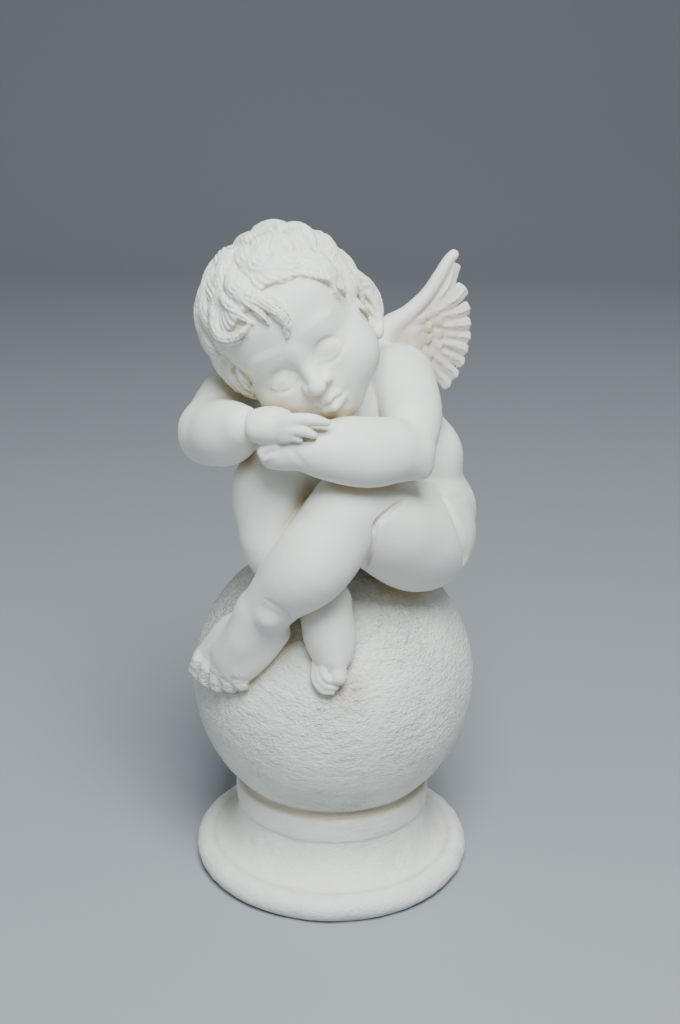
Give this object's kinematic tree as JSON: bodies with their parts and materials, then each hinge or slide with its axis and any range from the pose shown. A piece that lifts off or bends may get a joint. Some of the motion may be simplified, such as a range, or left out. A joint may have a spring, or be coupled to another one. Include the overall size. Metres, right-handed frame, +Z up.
{
  "type": "winged cherub statue",
  "caption": "Matt white cast statue of a sleeping winged child seated on a rough ball, on a round moulded plinth.",
  "frame": {"origin": "middle of the plinth's flat underside, on the axis of the ball and the plinth", "axes": "+Z up, -Y towards the front that the face looks to"},
  "size_m": [0.1658, 0.1889, 0.3954],
  "materials": {
    "cast_stone": "matt white cast stone, smooth on the figure and finely crackled on the ball"
  },
  "bodies": {
    "root": {"sleeping_cherub_on_ball": "cast_stone"}
  },
  "joints": []
}
